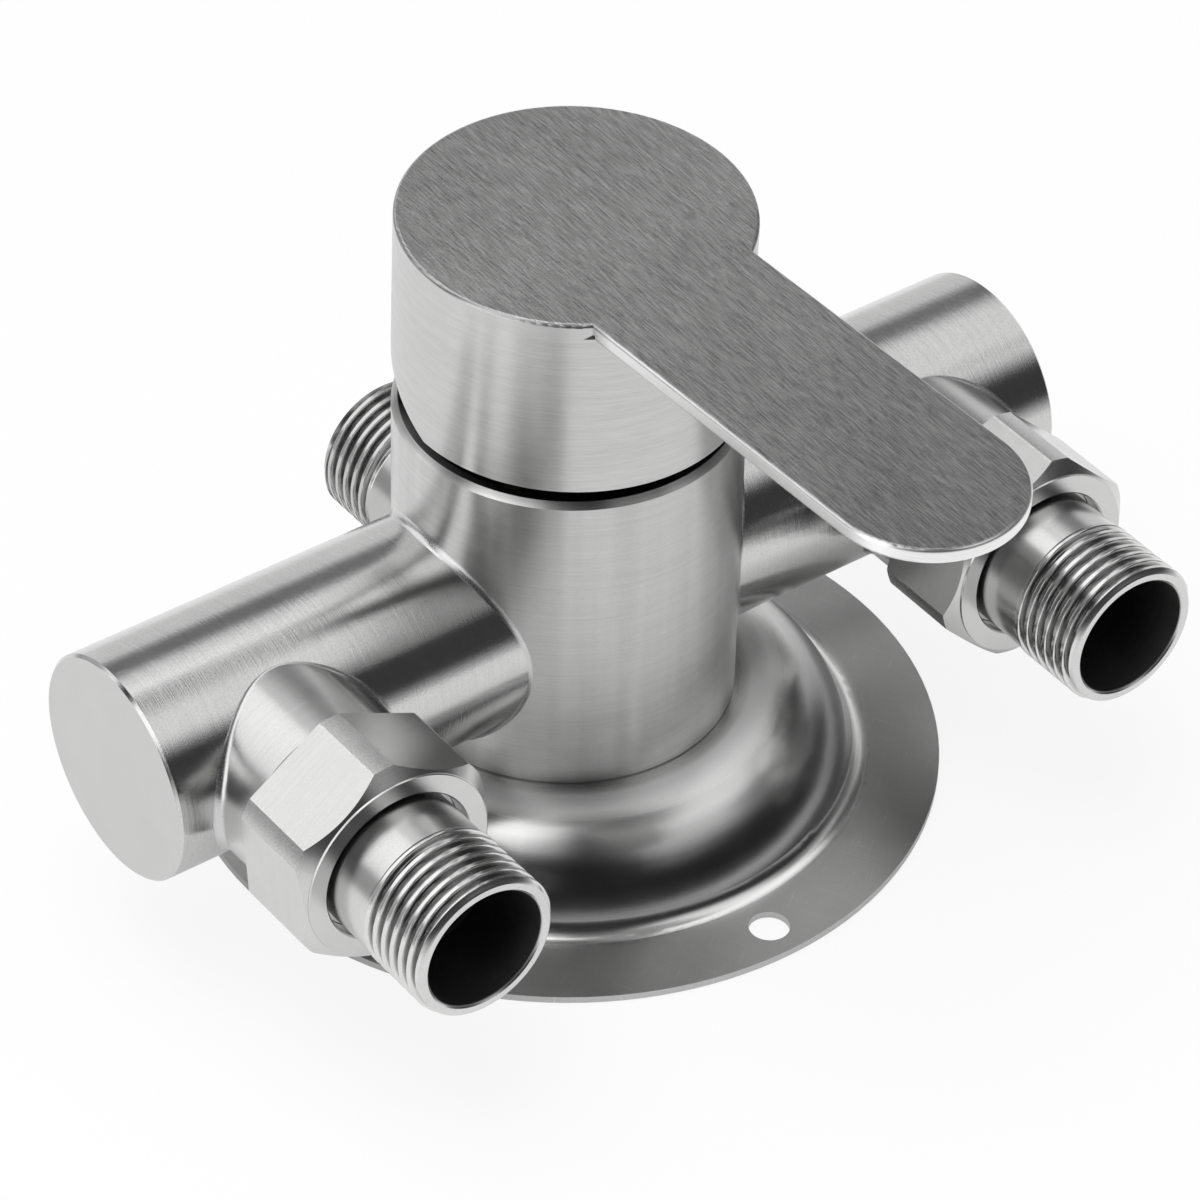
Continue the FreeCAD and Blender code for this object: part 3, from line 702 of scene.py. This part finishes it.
def studio_world():
    """A soft room: a bright backdrop low down, dark gaps above it and behind the camera, soft panels."""
    world = bpy.data.worlds.new("studio")
    bpy.context.scene.world = world
    world.use_nodes = True
    tree = world.node_tree
    background = tree.nodes["Background"]
    out = tree.nodes["World Output"]
    coords = tree.nodes.new("ShaderNodeTexCoord")
    parts = tree.nodes.new("ShaderNodeSeparateXYZ")
    turn = tree.nodes.new("ShaderNodeMapping")
    turn.inputs["Rotation"].default_value = (0, 0, -CAMERA_SIDE)
    tree.links.new(coords.outputs["Generated"], turn.inputs["Vector"])
    tree.links.new(turn.outputs[0], parts.inputs[0])

    def calc(operation, a, b=0.0):
        node = tree.nodes.new("ShaderNodeMath")
        node.operation = operation
        for socket, value in zip(node.inputs, (a, b)):
            if isinstance(value, bpy.types.NodeSocket):
                tree.links.new(value, socket)
            else:
                socket.default_value = value
        return node.outputs[0]

    def smooth(value, low, high):
        node = tree.nodes.new("ShaderNodeMapRange")
        node.interpolation_type = "SMOOTHSTEP"
        tree.links.new(value, node.inputs["Value"])
        node.inputs["From Min"].default_value = low
        node.inputs["From Max"].default_value = high
        return node.outputs[0]

    def window(value, low, high, soft):
        rise = smooth(value, low - soft, low + soft)
        fall = smooth(value, high - soft, high + soft)
        return calc("MULTIPLY", rise, calc("SUBTRACT", 1.0, fall))

    height = calc("MULTIPLY", calc("ARCSINE", calc("MINIMUM", parts.outputs[2], 1.0)), 180 / math.pi)
    side = calc("MULTIPLY", calc("ARCTAN2", parts.outputs[1], parts.outputs[0]), 180 / math.pi)
    # side is 0 towards the camera and +90 to the camera's right
    glow = None
    for low_h, high_h, low_s, high_s, soft_h, soft_s, level in PANELS:
        part = calc("MULTIPLY", window(height, low_h, high_h, soft_h), window(side, low_s, high_s, soft_s))
        part = calc("MULTIPLY", part, level)
        glow = part if glow is None else calc("MAXIMUM", glow, part)
    glow = calc("ADD", glow, ROOM)
    # The white backdrop shows to the camera all round, and to metal where it stands behind the object.
    path = tree.nodes.new("ShaderNodeLightPath")
    mirrored = calc("MAXIMUM", path.outputs["Is Glossy Ray"], path.outputs["Is Transmission Ray"])
    low_down = window(height, -90, BACKDROP_TOP, 6)
    behind = calc("MULTIPLY", low_down, smooth(calc("ABSOLUTE", side), 125, 150))
    backdrop = calc("MULTIPLY", calc("MULTIPLY", mirrored, behind), BACKDROP)
    seen = calc("MAXIMUM", path.outputs["Is Camera Ray"], backdrop)
    seen = calc("MAXIMUM", glow, seen)
    tree.links.new(seen, background.inputs["Strength"])
    background.inputs["Color"].default_value = (1, 1, 1, 1)
    tree.links.new(background.outputs[0], out.inputs["Surface"])


FLOOR_CENTRE = (0.02, 0.045)
FLOOR_RADIUS = 0.26
FLOOR_GAP = 0.0002
NEAR_FLOOR = 0.075
FAR_FLOOR = 0.125


def make_floor():
    """A round pale floor that runs into the white backdrop at its edge and keeps the object's shadow."""
    mesh = bpy.data.meshes.new("floor")
    ring = 96
    angles = [2 * math.pi * k / ring for k in range(ring)]
    points = [(FLOOR_RADIUS * math.cos(angle), FLOOR_RADIUS * math.sin(angle), 0) for angle in angles]
    mesh.from_pydata(points, [], [tuple(range(ring))])
    floor = bpy.data.objects.new("floor", mesh)
    floor.location = (*FLOOR_CENTRE, -FLOOR_GAP)
    bpy.context.scene.collection.objects.link(floor)
    n = Nodes("floor_paper")
    n.shader.inputs["Base Color"].default_value = (0.88, 0.88, 0.88, 1)
    n.shader.inputs["Roughness"].default_value = 0.9
    n.shader.inputs["Specular IOR Level"].default_value = 0.1
    glow = n.add("ShaderNodeEmission")
    path = n.add("ShaderNodeLightPath")
    length = n.add("ShaderNodeVectorMath", operation="LENGTH")
    n.link(n.object_point(), length.inputs[0])
    away = length.outputs["Value"]
    # Near the object metal mirrors the shaded paper; further out it mirrors the white backdrop.
    share_seen = n.spread(away, FLOOR_RADIUS * 0.45, FLOOR_RADIUS * 0.97, 0.88, 1.0)
    share_mirrored = n.spread(away, NEAR_FLOOR, FAR_FLOOR, 0.15, 0.85)
    mirrored = n.math("MAXIMUM", path.outputs["Is Glossy Ray"], path.outputs["Is Transmission Ray"])
    share = n.math("MAXIMUM", n.times(path.outputs["Is Camera Ray"], share_seen),
                   n.times(mirrored, share_mirrored))
    mix = n.add("ShaderNodeMixShader")
    n.link(share, mix.inputs[0])
    n.link(n.shader.outputs[0], mix.inputs[1])
    n.link(glow.outputs[0], mix.inputs[2])
    n.link(mix.outputs[0], n.out.inputs["Surface"])
    mesh.materials.append(n.material)


def soft_lamp():
    # Lifts paint, plastic and paper to a plain level, and leaves metal to the room's panels.
    lamp = bpy.data.lights.new("soft_lamp", "AREA")
    lamp.shape = "DISK"
    lamp.size = 0.9
    lamp.energy = 6.0
    item = bpy.data.objects.new("soft_lamp", lamp)
    item.location = (-0.25, -0.1, 1.1)
    item.rotation_mode = "QUATERNION"
    item.rotation_quaternion = (-item.location).to_track_quat("-Z", "Y")
    item.visible_glossy = False
    bpy.context.scene.collection.objects.link(item)


# ---- materials on the carried-over nodes ----

def dress(material, *names):
    for name in names:
        for slot in NODES[name].material_slots:
            slot.link = "DATA"
            slot.material = material


make_camera()
studio_world()
make_floor()
soft_lamp()

cup_steel = brushed("cup_steel", "Z", grey=0.63, rough=0.30, stretch=0.75, lines=0.10, depth=0.10,
                    blotch=0.03, along=260.0)
tube_steel = brushed("tube_steel", "X", TUBE_GREY, TUBE_ROUGH, TUBE_STRETCH, TUBE_LINES, TUBE_DEPTH,
                     TUBE_BLOTCH, TUBE_GRAIN)
boss_steel = brushed("boss_steel", "Y", grey=0.64, rough=0.24, stretch=0.4, lines=0.05, depth=0.06,
                     blotch=0.05, grain=0.04)
nut_steel = nut_finish("nut_steel")
thread_steel = thread_finish("thread_steel", INLET_X, TUBE_HEIGHT, INLET_REACH, INLET_THREAD, 0.66)
outlet_steel = thread_finish("outlet_steel", 0.0, OUTLET_HEIGHT, OUTLET_REACH, OUTLET_THREAD, 0.52)
weld_steel = plain("weld_steel", 0.60, 0.26, 1.0, mottle=0.06, scale=1500.0, depth=0.06)
brass = plain("brass_turned", 0.72, 0.25, 1.0, tint=(1.0, 0.78, 0.42))
# Near-black brass on the cartridge's lock nut.
lock_brass = plain("brass_near_black", 0.10, 0.5, 1.0, tint=(1.0, 0.88, 0.66))
plastic = plain("cartridge_plastic_white", 0.78, 0.45, tint=(1.0, 0.99, 0.96), mottle=0.03)
ceramic = plain("disc_ceramic_ground", 0.88, 0.18, tint=(1.0, 0.99, 0.96), mottle=0.02)
rubber = plain("seal_rubber_black", 0.03, 0.6, mottle=0.2)
plug = plain("plug_plastic_grey", 0.12, 0.3, mottle=0.1)
spindle_steel = brushed("spindle_steel", "Z", grey=0.58, rough=0.25, stretch=0.3)

dress(flange_finish("flange_steel"), "wall_flange")
dress(barrel_finish("barrel_steel"), "valve_barrel")
dress(cup_steel, "handle_skirt")
dress(lever_finish("lever_brushed"), "lever_plate")
dress(tube_steel, "cross_arm_left", "cross_arm_right")
dress(end_finish("end_steel"), "end_cap_left", "end_cap_right")
dress(boss_steel, "inlet_boss_left", "inlet_boss_right")
dress(nut_steel, "union_nut_left", "union_nut_right")
dress(brass, "flange_ring_nut")
dress(lock_brass, "cartridge_lock_nut")
dress(plastic, "cartridge_base", "cartridge_housing", "cartridge_rotor", "disc_carrier")
dress(ceramic, "fixed_disc", "moving_disc")
dress(rubber, "base_seals", "union_gasket_left", "union_gasket_right")
dress(plug, "index_plug")
dress(spindle_steel, "spindle", "spindle_pin", "handle_hub", "set_screw")

# ---- added pieces ----

NUT_TURNS = {"left": 34.0, "right": 17.0}
ALONG_X, ALONG_Y, ALONG_Z = (1, 0, 0), (0, 1, 0), (0, 0, 1)
TUBE_CENTRE = (0, 0, TUBE_HEIGHT)
BARREL_FOOT = (0, 0, 0)
# Radius of the fillet's rolling ball.
ARM_BALL = 1.1
SMALL_BALL = 1.2

for side, word in ((-1, "left"), (1, "right")):
    def place(u, v, out, x=side * INLET_X):
        return (x + u, -out, TUBE_HEIGHT + v)

    threaded_pipe("threaded_tailpiece_" + word, place, "swivel_" + word, thread_steel,
                  TAILPIECE_ROOT, True, INLET_REACH, INLET_THREAD, "tailpiece_" + word)
    dressed_nut("round_ridged_nut_" + word, place, NUT_TURNS[word], "nut_" + word, nut_steel,
                "union_nut_" + word)
    weld("weld_arm_" + word, weld_steel, ALONG_Y, ALONG_X, TUBE_RADIUS, TUBE_CENTRE,
         ALONG_Z, BARREL_RADIUS, BARREL_FOOT, side, ARM_BALL, "valve_body", 0.03)
    boss_centre = (side * INLET_X, 0, TUBE_HEIGHT)
    weld("weld_boss_" + word, weld_steel, ALONG_Z, (0, -1, 0), BOSS_RADIUS, boss_centre,
         ALONG_X, TUBE_RADIUS, TUBE_CENTRE, 1, SMALL_BALL, "valve_body", 0.06)


def place_outlet(u, v, out):
    return (-u, out, OUTLET_HEIGHT + v)


threaded_pipe("threaded_outlet", place_outlet, "valve_body", outlet_steel,
              OUTLET_ROOT, False, OUTLET_REACH, OUTLET_THREAD, "outlet_nipple")
weld("weld_outlet", weld_steel, ALONG_X, ALONG_Y, NECK_RADIUS, (0, 0, OUTLET_HEIGHT),
     ALONG_Z, BARREL_RADIUS, BARREL_FOOT, 1, SMALL_BALL, "valve_body", 0.06)

bpy.context.scene.view_settings.view_transform = "Standard"
